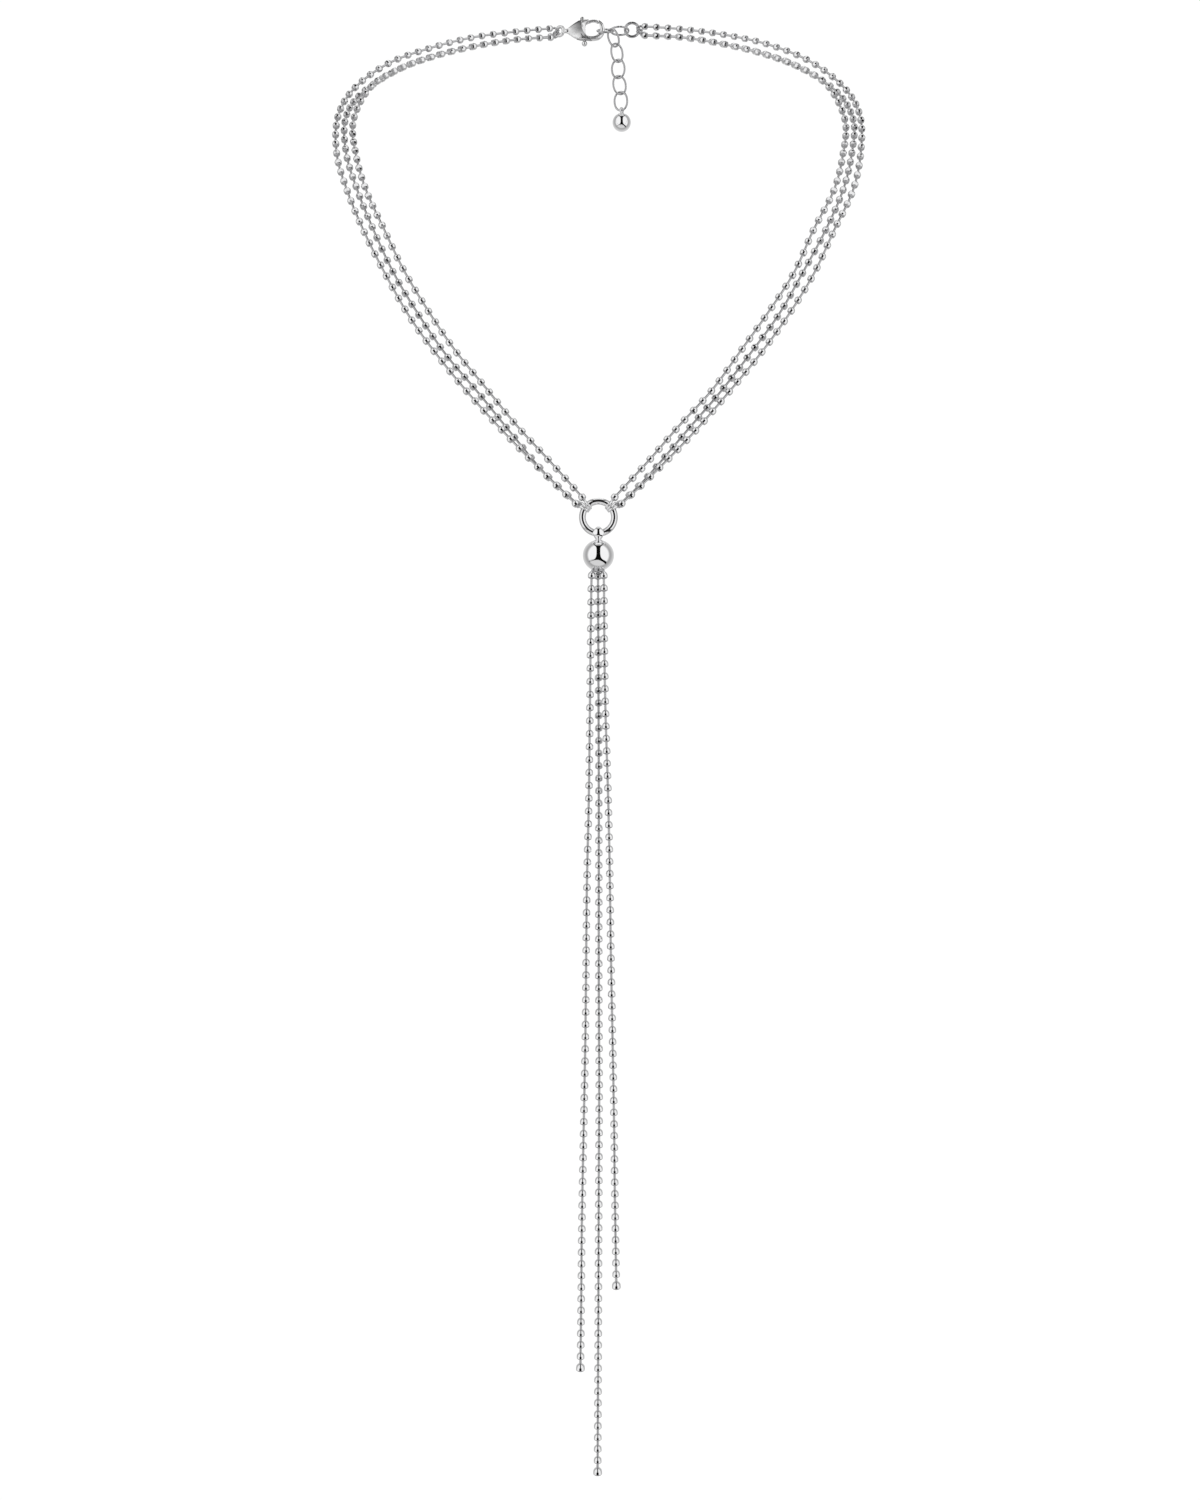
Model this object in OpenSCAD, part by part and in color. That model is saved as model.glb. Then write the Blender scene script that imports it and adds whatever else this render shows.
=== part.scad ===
// Long necklace of six ball-chain strands that meet at a round front ring,
// with a ball drop and a three-strand chain tassel, a lobster clasp and an
// extension chain. It keeps the form that it has when it is worn.
// X runs to the right as seen from the front, Y to the back, Z up.
// The origin is the middle of the chain where it rests on the back of the neck.

/* [Chain] */
// Diameter of the beads, and so of the tube that stands for a chain
bead_d = 2.0; // [1.6:0.1:2.0]
// Thickness of the small end loops on the front ring
front_loop_wire = 0.42; // [0.3:0.02:0.44]
// Thickness of the small end loops on the clasp and the jump ring
back_loop_wire = 0.3; // [0.24:0.02:0.32]

/* [Front ring] */
// Diameter of the round wire of the front ring
ring_wire = 1.75; // [1.4:0.05:1.8]
// Outside diameter of the front ring
ring_od = 9.75; // [9.4:0.05:9.9]

/* [Drop] */
// Diameter of the drop ball
ball_d = 7.8; // [7.2:0.1:7.8]
// Width of the bail at its top
bail_w = 2.9; // [2.2:0.1:3]
// Wall of the bail
bail_wall = 0.3; // [0.25:0.05:0.35]

/* [Clasp] */
// Thickness of the clasp's housing, front to back
clasp_t = 2.2; // [2:0.1:2.4]
// Thickness of the spring lever, front to back
lever_t = 0.8; // [0.6:0.1:0.8]
// Diameter of the lever's trigger knob
knob_d = 1.6; // [1.2:0.1:1.8]

/* [Extension chain] */
// Thickness of the wire of the links
link_wire = 0.55; // [0.45:0.05:0.55]
// Outside width of a hanging link
link_w = 4.5; // [4.2:0.1:4.6]
// Diameter of the ball on the end of the extension chain
end_ball_d = 5.2; // [4.6:0.1:5.4]
// Outside diameter of the jump ring
jump_od = 4.7; // [4.5:0.1:4.8]
// Diameter of the jump ring's wire
jump_wire = 0.8; // [0.7:0.05:0.85]

/* [Hidden] */
$fn = 48;
steel = "Silver";
polished = "Gainsboro";

// How far a cutting shape runs past what it cuts
over = 1;

// The front ring stands upright, and the wire at its foot carries the drop.
ring_c = [-0.4, -75, -146.3];
ring_r = (ring_od - ring_wire) / 2;
foot = ring_c - [0, 0, ring_r];

// Angles of the end loops round the front ring, from +X towards +Z
front_angle = 40;
front_step = 10;
front_loop_r = ring_wire / 2 + 0.075 + front_loop_wire / 2;

// Bail and ball, measured down from the wire that carries them
bail_hole_r = 1.3;
bail_r = bail_hole_r + bail_wall;
crown_w = 1.45;
waist_w = 1.5;
ball_gap = 0.05;
ball_c = foot - [0, 0, bail_r + ball_gap + ball_d / 2];
peg_r = 0.6;
peg_play = 0.05;
peg_depth = 1.6;
mouth_r = 1.25;
mouth_rim = 0.3;
mouth_depth = 2.6;

// Clasp: the circles that its outline is drawn round
head_c = [-1.7, 0];
head_r = 3.05;
waist_c = [-5.5, -0.1];
waist_r = 2.8;
tail_c = [-8.5, -0.35];
tail_r = 1.05;
eye_c = [-11.4, -0.3];
eye_r = 1.25;
eye_wire_r = 0.5;
eye_turn = 36;
window_c = [-2.05, 0.15];
window_r = 2.0;
window_left = -4.1;
pivot = [-5.1, 1.0];
pivot_r = 0.85;
pin_r = 0.4;
pin_play = 0.05;
pin_length = 1.5;
gate_reach = 4.9;
gate_gap = 0.15;
slot_play = 0.1;
slot_left = -6.5;
slot_right = -3.9;
bevel_z = 1.5;
rim_y = 0.55;
rim_z = 3.4;
neck_left = -10.6;
neck_length = 2;
ear_c = [-5, 2.85];
ear_r = 0.75;
ear_t = 0.4;
gate_foot = [-5.2, 0.6];
knob_c = [-4.4, -3.85];
stem_w = 0.6;

// End loops at the back: angles round the clasp's eye and round the jump ring
eye_angle = 184;
eye_step = 40;
eye_loop_r = eye_wire_r + 0.07 + back_loop_wire / 2;
jump_c = [9.1, 0, 0.1];
jump_r = (jump_od - jump_wire) / 2;
jump_step = 22;
jump_loop_r = jump_wire / 2 + 0.07 + back_loop_wire / 2;

// Links: [centre, lean to the right, turn about the long axis, length, width]
short_l = 5.1;
middle_l = 5.6;
long_l = 5.8;
back_w = 4.2;
first_w = 4.4;
hooked = [[1.5, 0, -0.2], 90, 60, short_l, back_w];
joining = [[5.6, 0, -0.2], 90, -70, middle_l, back_w];
hanging = [
  [[3.8, -1.3, -2.6], 24, -50, middle_l, first_w],
  [[4.8, -1.3, -6.85], 4.7, 35, long_l, link_w],
  [[5.17, -1.3, -11.42], 4.7, -25, long_l, link_w],
  [[5.54, -1.3, -15.99], 4.7, 25, long_l, link_w],
  [[5.91, -1.3, -20.56], 4.7, -25, long_l, link_w]
];
end_ball_c = [6.15, -1.3, -26.6];
end_eye_r = 0.72;
end_eye_wire = 0.5;
end_eye_turn = 55;

// Routes of the chains, chosen by hand, from the front ring to the clasp
left_outer = [
  [-5.7, -75, -143.3], [-15, -72, -134], [-24, -69, -124.5],
  [-32.5, -66.5, -115], [-41, -64, -104.5], [-48.5, -61.5, -94],
  [-55, -59, -82.5], [-61, -56, -70.5], [-66, -51, -58.5],
  [-69.5, -44.5, -47], [-70, -37, -35], [-66.3, -29, -25],
  [-57.8, -22, -16.2], [-47, -15.5, -10], [-36, -9.5, -5.2],
  [-24, -4.5, -1.9], [-13.7, -0.4, 0.4]
];
left_middle = [
  [-5.2, -72.7, -143.1], [-14, -69.8, -134.6], [-23, -66.9, -123.6],
  [-31, -64.5, -113.5], [-39.3, -62, -103.5], [-46.7, -59.5, -92.5],
  [-53.2, -57, -81.5], [-58.8, -54, -69.5], [-63.5, -49, -58],
  [-67.2, -42.5, -46.5], [-68.2, -35, -35], [-64.8, -25.4, -25.4],
  [-55.4, -17.9, -16.6], [-45.8, -11, -10.7], [-34.6, -5.5, -6.2],
  [-23.6, -1, -3], [-13.4, 2.8, -0.8]
];
left_inner = [
  [-4.1, -75, -141.7], [-12.5, -71.5, -132], [-21, -68.5, -122.5],
  [-29, -66, -112.5], [-37, -63.5, -102.5], [-44, -61, -92],
  [-50.5, -58.5, -81], [-56, -55.5, -69.5], [-61, -50.5, -58.5],
  [-64.4, -44, -47.5], [-66, -36, -36], [-62.4, -27.5, -24.6],
  [-55, -20.5, -17.3], [-45.5, -13.5, -11.5], [-34.5, -8, -7],
  [-23.5, -3.5, -3.8], [-13.4, 0.9, -1.8]
];
right_outer = [
  [5, -75, -143.3], [14.5, -72, -134], [23.5, -69, -124.5],
  [32, -66.5, -114.5], [40.5, -64, -104], [48, -61.5, -93.5],
  [55, -59, -82], [60.6, -56, -70], [66, -51, -58.5],
  [68.8, -44.5, -47], [69.5, -37, -35], [66.1, -29, -25],
  [57.5, -22, -15.7], [46.5, -15.5, -9], [35, -9.5, -4.4],
  [23, -4, -1], [12.1, -0.6, 0.9]
];
right_middle = [
  [4.5, -72.7, -143.1], [9.3, -71.2, -138.5], [14, -69.8, -133.3],
  [22.5, -67, -123], [30.5, -64.5, -113.5], [38.5, -62, -103],
  [46, -59.5, -92.5], [52.5, -57, -81], [58.6, -54, -69.5],
  [63.6, -49, -58], [66.6, -42.5, -47], [68, -34.6, -35.5],
  [64.5, -25.2, -25], [55.2, -17.9, -16.2], [45.2, -11, -10],
  [34.1, -5.5, -5.6], [23.1, -1, -2.3], [11.9, 2.6, -0.4]
];
right_inner = [
  [3.3, -75, -141.7], [12, -71.5, -132], [20, -68.5, -122.5],
  [28.5, -66, -113], [36, -63.5, -102.5], [43, -61, -92.5],
  [50, -58.5, -81.5], [55.2, -55.5, -70], [61, -50.5, -58.5],
  [64.1, -44, -47.5], [65.6, -36, -36], [62, -27.5, -24.3],
  [55, -20.5, -17], [45, -13.5, -10.9], [34, -8, -6.4],
  [23, -3.5, -3.2], [12.1, 0, -1.5]
];

// Routes of the tassel's chains, from the ball's mouth down to their free ends
left_fall = [
  [-2.0, -75.7, -159.7], [-2.3, -75.7, -174], [-2.5, -75.6, -192],
  [-2.8, -75.5, -217], [-3.3, -75.4, -240], [-3.6, -75.3, -272],
  [-4.0, -75.2, -295], [-4.5, -75.1, -321], [-4.7, -75, -342], [-4.9, -75, -360]
];
centre_fall = [
  [-0.5, -73.6, -159.7], [-0.4, -73.7, -184], [-0.3, -73.9, -210],
  [-0.3, -74.1, -236], [-0.3, -74.3, -262], [-0.2, -74.5, -288],
  [-0.3, -74.7, -314], [-0.4, -74.8, -340], [-0.5, -74.9, -364],
  [-0.6, -75, -386]
];
right_fall = [
  [0.9, -75.7, -159.7], [1.1, -75.7, -180], [1.4, -75.6, -196],
  [2.0, -75.5, -215], [2.4, -75.4, -233], [2.7, -75.3, -254],
  [3.1, -75.2, -275], [3.5, -75.1, -297], [3.7, -75, -315], [4.1, -75, -339.5]
];

// Geometry helpers
function unit(v) = v / norm(v);

// A smooth curve through every point of a route, in k steps a span
function along(a, b, c, d, t) =
  0.5 * (2 * b + (c - a) * t + (2 * a - 5 * b + 4 * c - d) * t * t
    + (3 * b - a - 3 * c + d) * t * t * t);
function spline(p, k) =
  let (n = len(p) - 1)
  [
    for (i = [0 : n - 1])
      let (a = i == 0 ? 2 * p[0] - p[1] : p[i - 1])
      let (d = i == n - 1 ? 2 * p[n] - p[n - 1] : p[i + 2])
      for (j = [0 : k - 1]) along(a, p[i], p[i + 1], d, j / k),
    p[n]
  ];
function headings(q) =
  let (n = len(q) - 1)
  [for (i = [0 : n]) unit(q[min(i + 1, n)] - q[max(i - 1, 0)])];

// Side directions that turn with the curve and don't twist about it
function sides(t, start, i = 0) =
  i == len(t) ? [] :
  let (s = unit(start - (start * t[i]) * t[i]))
  concat([s], sides(t, s, i + 1));

// One closed tube of eight sides along a route
module tube(route, d, k) {
  q = spline(route, k);
  t = headings(q);
  s = sides(t, [0.3, 1, 0.2]);
  last = len(q) - 1;
  points = [
    for (i = [0 : last])
      let (w = cross(t[i], s[i]))
      for (j = [0 : 7]) q[i] + d / 2 * (cos(45 * j) * s[i] + sin(45 * j) * w)
  ];
  walls = [
    for (i = [0 : last - 1])
      for (j = [0 : 7])
        [8 * i + j, 8 * i + 8 + j, 8 * i + 8 + (j + 1) % 8, 8 * i + (j + 1) % 8]
  ];
  first_cap = [[for (j = [0 : 7]) j]];
  last_cap = [[for (j = [0 : 7]) 8 * last + 7 - j]];
  polyhedron(points, concat(walls, first_cap, last_cap));
}

module torus(r, wire) {
  rotate_extrude() translate([r, 0]) circle(d = wire);
}

// A ring that stands upright and faces the front
module upright_ring(centre, r, wire) {
  translate(centre) rotate([90, 0, 0]) torus(r, wire);
}

// A small loop round the wire of an upright ring, at angle a from +X to +Z
module end_loop(centre, r, a, loop_r, wire, turn = 0) {
  translate(centre) rotate([0, 0, turn]) rotate([0, -a, 0])
    translate([r, 0, 0]) torus(loop_r, wire);
}

// The flat outline round two circles and their shared tangents
module taper(a, ra, b, rb) {
  v = b - a;
  dir = atan2(v[1], v[0]);
  off = acos((ra - rb) / norm(v));
  translate(a) circle(ra);
  translate(b) circle(rb);
  polygon([
    a + ra * [cos(dir + off), sin(dir + off)],
    a + ra * [cos(dir - off), sin(dir - off)],
    b + rb * [cos(dir - off), sin(dir - off)],
    b + rb * [cos(dir + off), sin(dir + off)]
  ]);
}

// A flat outline in X and Z, made t thick about Y = 0
module plate(t) {
  rotate([90, 0, 0]) linear_extrude(t, center = true) children();
}

// One oval link: two half rings and two straight sides, long axis along Z
module oval_link(length, width) {
  r = (width - link_wire) / 2;
  reach = (length - width) / 2;
  for (end = [0, 180])
    rotate([0, end, 0]) translate([0, 0, reach]) rotate([90, 0, 0])
      rotate_extrude(angle = 180) translate([r, 0]) circle(d = link_wire);
  for (x = [-r, r])
    translate([x, 0, -reach]) cylinder(d = link_wire, h = 2 * reach);
}

module placed_link(row) {
  translate(row[0]) rotate([0, -row[1], 0]) rotate([0, 0, row[2]])
    oval_link(row[3], row[4]);
}

// Sub-parts
module strand(route) {
  color(polished) tube(route, bead_d, 3);
}

module fall(route) {
  color(polished) tube(route, bead_d, 4);
}

module front_loop(side, k) {
  a = 90 - side * (90 - front_angle + k * front_step);
  color(steel)
    end_loop(ring_c, ring_r, a, front_loop_r, front_loop_wire);
}

module left_end_loop(k) {
  color(steel)
    end_loop([eye_c[0], 0, eye_c[1]], eye_r, eye_angle - k * eye_step,
      eye_loop_r, back_loop_wire, -eye_turn);
}

module right_end_loop(k) {
  color(steel)
    end_loop(jump_c, jump_r, k * jump_step, jump_loop_r, back_loop_wire);
}

module front_ring() {
  color(polished) upright_ring(ring_c, ring_r, ring_wire);
}

module drop_bail() {
  color(polished) translate(foot) {
    difference() {
      intersection() {
        rotate([0, 90, 0]) cylinder(r = bail_r, h = bail_w + over, center = true);
        plate(4 * bail_r) polygon([
          [-waist_w / 2, -bail_r - over], [-bail_w / 2, -0.3],
          [-bail_w / 2, 0.6], [-crown_w / 2, bail_r + 0.1],
          [crown_w / 2, bail_r + 0.1], [bail_w / 2, 0.6],
          [bail_w / 2, -0.3], [waist_w / 2, -bail_r - over]
        ]);
      }
      rotate([0, 90, 0])
        cylinder(r = bail_hole_r, h = bail_w + 2 * over, center = true);
    }
    translate([0, 0, -bail_r - peg_depth])
      cylinder(r = peg_r, h = peg_depth + bail_wall / 2);
  }
}

module drop_ball() {
  flat = sqrt(pow(ball_d / 2, 2) - pow(mouth_r + mouth_rim, 2));
  color(polished) translate(ball_c) difference() {
    intersection() {
      sphere(d = ball_d, $fn = 64);
      translate([0, 0, ball_d / 2 - flat])
        cube([ball_d + over, ball_d + over, ball_d], center = true);
    }
    translate([0, 0, ball_d / 2 - peg_depth])
      cylinder(r = peg_r + peg_play, h = peg_depth + over);
    translate([0, 0, -flat - over])
      cylinder(r = mouth_r, h = mouth_depth + over);
  }
}

module clasp_outline() {
  taper(head_c, head_r, waist_c, waist_r);
  taper(waist_c, waist_r, tail_c, tail_r);
}

// The window that the hooked link sits in
module clasp_window() {
  translate(window_c) circle(window_r);
  translate([window_left, window_c[1] - 1.3])
    square([window_c[0] - window_left, 2.6]);
}

// All that the gate sweeps over as it opens
module gate_sweep() {
  intersection() {
    translate(pivot) circle(gate_reach + gate_gap);
    translate([window_left, gate_foot[1] - 0.3]) square([6, 4]);
  }
}

// Thickness of the housing seen from above, thinner at the hook
module clasp_side() {
  full = clasp_t / 2;
  back = [
    [-9.8, 0.62], [-8, full - 0.15], [-6.4, full],
    [-4.4, full], [-3, full - 0.15], [-0.6, 0.6], [1.6, 0.5]
  ];
  front = [for (i = [len(back) - 1 : -1 : 0]) [back[i][0], -back[i][1]]];
  polygon(concat(back, front));
}

// Section of the housing in Y and Z: thick in the middle, thin at its edges
module clasp_section() {
  wide = clasp_t / 2 + 0.3;
  polygon([
    [-wide, -bevel_z], [-rim_y, -rim_z], [rim_y, -rim_z], [wide, -bevel_z],
    [wide, bevel_z], [rim_y, rim_z], [-rim_y, rim_z], [-wide, bevel_z]
  ]);
}

module clasp_body() {
  color(polished) {
    difference() {
      intersection() {
        plate(6) difference() {
          clasp_outline();
          clasp_window();
          gate_sweep();
        }
        linear_extrude(4 * head_r, center = true) clasp_side();
        rotate([90, 0, 90]) linear_extrude(40, center = true) clasp_section();
      }
      plate(lever_t + 2 * slot_play)
        translate([slot_left, -head_r - over])
          square([slot_right - slot_left, 2 * (head_r + over)]);
    }
    translate([pivot[0], 0, pivot[1]]) rotate([90, 0, 0])
      cylinder(r = pin_r, h = pin_length, center = true);
    translate([eye_c[0], 0, eye_c[1]]) rotate([0, 0, -eye_turn])
      rotate([90, 0, 0]) torus(eye_r, 2 * eye_wire_r);
    translate([neck_left, 0, eye_c[1]]) rotate([0, 90, 0])
      cylinder(r = eye_wire_r, h = neck_length);
    for (side = [-1, 1])
      translate([ear_c[0], side * (lever_t / 2 + slot_play + ear_t / 2), ear_c[1]])
        rotate([90, 0, 0]) cylinder(r = ear_r, h = ear_t, center = true);
  }
}

module gate_shape() {
  intersection() {
    difference() {
      translate(head_c) circle(head_r);
      clasp_window();
    }
    translate(gate_foot) square([6, 4]);
    translate(pivot) circle(gate_reach);
  }
}

module clasp_lever() {
  color(steel) {
    difference() {
      plate(lever_t) {
        gate_shape();
        translate(pivot) circle(pivot_r);
        polygon([
          pivot + [-0.4, 0.75], [-3.4, 2.55], [-4.2, 1.4], pivot + [0.6, 0]
        ]);
        translate([knob_c[0] - stem_w / 2, knob_c[1]])
          square([stem_w, pivot[1] - knob_c[1]]);
      }
      translate([pivot[0], 0, pivot[1]]) rotate([90, 0, 0])
        cylinder(r = pin_r + pin_play, h = lever_t + over, center = true);
    }
    translate([knob_c[0], 0, knob_c[1]]) sphere(d = knob_d);
  }
}

module jump_ring() {
  color(polished) upright_ring(jump_c, jump_r, jump_wire);
}

module end_ball() {
  color(polished) {
    translate(end_ball_c) sphere(d = end_ball_d);
    translate(end_ball_c + [0, 0, end_ball_d / 2 + end_eye_r + 0.1])
      rotate([0, 0, end_eye_turn]) rotate([90, 0, 0])
        torus(end_eye_r, end_eye_wire);
  }
}

strand(left_outer);  // left_outer_strand
strand(left_middle);  // left_middle_strand
strand(left_inner);  // left_inner_strand
strand(right_outer);  // right_outer_strand
strand(right_middle);  // right_middle_strand
strand(right_inner);  // right_inner_strand
front_loop(-1, 1);  // left_outer_front_loop
front_loop(-1, 0);  // left_middle_front_loop
front_loop(-1, -1);  // left_inner_front_loop
front_loop(1, 1);  // right_outer_front_loop
front_loop(1, 0);  // right_middle_front_loop
front_loop(1, -1);  // right_inner_front_loop
left_end_loop(1);  // left_outer_end_loop
left_end_loop(0);  // left_middle_end_loop
left_end_loop(-1);  // left_inner_end_loop
right_end_loop(1);  // right_outer_end_loop
right_end_loop(0);  // right_middle_end_loop
right_end_loop(-1);  // right_inner_end_loop
front_ring();
drop_bail();
drop_ball();
fall(left_fall);  // left_tassel
fall(centre_fall);  // centre_tassel
fall(right_fall);  // right_tassel
clasp_body();
clasp_lever();
jump_ring();
color(steel) placed_link(hooked);  // hooked_link
color(steel) placed_link(joining);  // joining_link
color(steel) placed_link(hanging[0]);  // hanging_link_1
color(steel) placed_link(hanging[1]);  // hanging_link_2
color(steel) placed_link(hanging[2]);  // hanging_link_3
color(steel) placed_link(hanging[3]);  // hanging_link_4
color(steel) placed_link(hanging[4]);  // hanging_link_5
end_ball();
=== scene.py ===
# %% [markdown]
# # A long ball-chain necklace
# The real object is a worn necklace: three ball chains on each side run from a
# lobster clasp at the nape to a round ring on the chest, and a ball drop with a
# three-chain tassel hangs from that ring. Its CAD model is the fixed frame here.
# In the frame a chain is a plain tube along its route. This script puts the real
# beads, loops, links and clasp where those tubes and blocks are, and gives them
# their polished plating. The necklace's lengths are in millimetres until the
# last step of a shape, because jewellery is measured so; Blender gets metres.

import math

import bpy
import numpy as np
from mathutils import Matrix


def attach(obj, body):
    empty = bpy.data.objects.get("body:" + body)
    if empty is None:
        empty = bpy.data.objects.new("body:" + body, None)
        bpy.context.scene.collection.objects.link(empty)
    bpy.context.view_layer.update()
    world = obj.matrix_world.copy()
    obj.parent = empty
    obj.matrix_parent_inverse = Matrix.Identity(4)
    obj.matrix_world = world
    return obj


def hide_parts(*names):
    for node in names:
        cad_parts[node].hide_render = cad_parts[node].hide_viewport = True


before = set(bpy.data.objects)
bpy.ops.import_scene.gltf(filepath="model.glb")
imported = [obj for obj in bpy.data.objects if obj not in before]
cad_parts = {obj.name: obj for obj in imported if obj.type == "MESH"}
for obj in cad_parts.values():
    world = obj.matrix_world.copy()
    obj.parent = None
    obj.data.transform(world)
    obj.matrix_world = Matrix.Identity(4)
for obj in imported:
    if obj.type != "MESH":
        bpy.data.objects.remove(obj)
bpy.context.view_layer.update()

# %% [markdown]
# ## Curves and skins
# Nearly every part of this necklace is a profile carried along a line: a bead
# chain, a wire loop, a link, the clasp's hook. It could be done with curve
# objects and bevels, but a bead chain changes its radius all along, so all of
# them are computed as one grid of points: rows go along the line, columns go
# round it. A few small functions make the line, the directions across it, and
# the mesh from the grid.

# %% A smooth line through given points
MM = 0.001


def smooth_line(points, steps):
    """Catmull-Rom curve: between two points the place is half of
    2b + (c-a)t + (2a-5b+4c-d)t^2 + (3b-a-3c+d)t^3, with a and d the neighbours."""
    p = np.array(points, float)
    p = np.vstack([2 * p[0] - p[1], p, 2 * p[-1] - p[-2]])
    t = (np.arange(steps) / steps)[None, :, None]
    a, b, c, d = (p[k : len(p) - 3 + k][:, None, :] for k in range(4))
    curve = 0.5 * (
        2 * b
        + (c - a) * t
        + (2 * a - 5 * b + 4 * c - d) * t**2
        + (3 * b - a - 3 * c + d) * t**3
    )
    return np.vstack([curve.reshape(-1, 3), p[-2]])


def distance_along(line):
    """Distance from the line's start to each of its points, as a running sum."""
    return np.r_[0, np.cumsum(np.linalg.norm(np.diff(line, axis=0), axis=1))]


def places_at(line, s):
    """Points of the line at the distances s, by linear interpolation per axis."""
    run = distance_along(line)
    return np.stack([np.interp(s, run, line[:, k]) for k in range(3)], axis=1)


# %% Directions across a line
def unit(v):
    """Each row divided by its length."""
    return v / np.linalg.norm(v, axis=-1, keepdims=True)


def across(line, up=(0, 1, 0), ring=False):
    """Two directions square to the line at each point: up with its part along
    the line taken off, and the cross product of the heading with it."""
    if ring:
        heading = np.roll(line, -1, axis=0) - np.roll(line, 1, axis=0)
    else:
        heading = np.gradient(line, axis=0)
    heading = unit(heading)
    up = np.broadcast_to(np.array(up, float), heading.shape)
    first = unit(up - (up * heading).sum(1, keepdims=True) * heading)
    return first, np.cross(heading, first)


def tube_grid(line, wide, deep=None, sides=12, up=(0, 1, 0), ring=False, section=None):
    """Rows along the line, columns round it: place = line + wide cos(v) first
    + deep sin(v) second. The half widths may change from row to row. A section
    of two columns may take the place of the cosine and the sine."""
    deep = wide if deep is None else deep
    wide = np.broadcast_to(np.asarray(wide, float), len(line))[:, None, None]
    deep = np.broadcast_to(np.asarray(deep, float), len(line))[:, None, None]
    first, second = across(line, up, ring)
    if section is None:
        v = np.linspace(0, 2 * np.pi, sides, endpoint=False)
        section = np.stack([np.cos(v), np.sin(v)], 1)
    a, b = section[None, :, :1], section[None, :, 1:]
    return line[:, None] + wide * a * first[:, None] + deep * b * second[:, None]


def turned_grid(profile, centre, sides, axis=(0, 0, 1)):
    """A turned shape: each profile row (radius, height) goes round the axis
    through the centre, place = centre + height axis + radius (cos v e + sin v f)."""
    axis = unit(np.array(axis, float))
    e = unit(np.cross(axis, (0.2, 1, 0.3)))
    f = np.cross(axis, e)
    v = np.linspace(0, 2 * np.pi, sides, endpoint=False)[None, :, None]
    r = np.array(profile, float)[:, 0][:, None, None]
    h = np.array(profile, float)[:, 1][:, None, None]
    return np.array(centre, float) + h * axis + r * (np.cos(v) * e + np.sin(v) * f)


# %% The faces of a grid
def skin_faces(rows, columns, ring):
    """Corner numbers of the quads of one grid; the last column joins the first,
    and in a ring the last row joins the first. Open ends close on a middle point."""
    i = np.arange(rows if ring else rows - 1)[:, None]
    j = np.arange(columns)[None, :]
    nxt, side = (i + 1) % rows, (j + 1) % columns
    quads = np.stack(
        [
            i * columns + j,
            i * columns + side,
            nxt * columns + side,
            nxt * columns + j,
        ],
        axis=-1,
    ).reshape(-1, 4)
    caps = np.zeros((0, 3), int)
    if not ring:
        j, side = j.ravel(), side.ravel()
        first, last = rows * columns, rows * columns + 1
        base = (rows - 1) * columns
        caps = np.vstack(
            [
                np.stack([side, j, np.full_like(j, first)], 1),
                np.stack([base + j, base + side, np.full_like(j, last)], 1),
            ]
        )
    return quads, caps


def volume_of(places, quads, caps):
    """Six times the signed volume: the sum of the triple products of the
    corners of every triangle. It is above zero when the faces point outwards."""
    tri = np.vstack([quads[:, [0, 1, 2]], quads[:, [0, 2, 3]], caps])
    a, b, c = places[tri[:, 0]], places[tri[:, 1]], places[tri[:, 2]]
    return float(np.einsum("ij,ij->", a, np.cross(b, c)))


# %% A closed skin from one or more grids
CREASE = math.radians(40)


def solid(name, grids, material):
    """A mesh object from grids in millimetres. Each grid is a closed skin with
    its faces pointing outwards; a pair (grid, True) also closes on itself. It
    is shaded smooth, apart from edges that bend by more than CREASE."""
    places, quads, caps = [], [], []
    count = 0
    for item in grids:
        grid, ring = item if isinstance(item, tuple) else (item, False)
        flat = grid.reshape(-1, 3)
        if not ring:
            flat = np.vstack([flat, grid[0].mean(0), grid[-1].mean(0)])
        q, c = skin_faces(*grid.shape[:2], ring)
        if volume_of(flat - flat.mean(0), q, c) < 0:
            q, c = q[:, ::-1], c[:, ::-1]
        places.append(flat)
        quads.append(q + count)
        caps.append(c + count)
        count += len(flat)
    faces = np.vstack(quads).tolist() + np.vstack(caps).tolist()
    mesh = bpy.data.meshes.new(name)
    mesh.from_pydata(np.vstack(places) * MM, [], faces)
    mesh.polygons.foreach_set("use_smooth", np.ones(len(faces), bool))
    mesh.set_sharp_from_angle(angle=CREASE)
    mesh.materials.append(material)
    made = bpy.data.objects.new(name, mesh)
    bpy.context.scene.collection.objects.link(made)
    print(name, len(faces), "faces")
    return made


# %% A piece in a CAD node's place
def skin(name, grids, node, body, material):
    """A finished piece in the place of a CAD node, moving with its body."""
    piece = solid(name, grids, material)
    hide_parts(node)
    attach(piece, body)
    return piece


def second_finish(piece, chosen, material):
    """Gives a piece's grid faces another material where chosen is true; chosen
    has a row for each span along the grid and a column for each face round it."""
    mesh = piece.data
    mesh.materials.append(material)
    index = np.zeros(len(mesh.polygons), np.int32)
    index[: chosen.size] = chosen.ravel()
    mesh.polygons.foreach_set("material_index", index)
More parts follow.
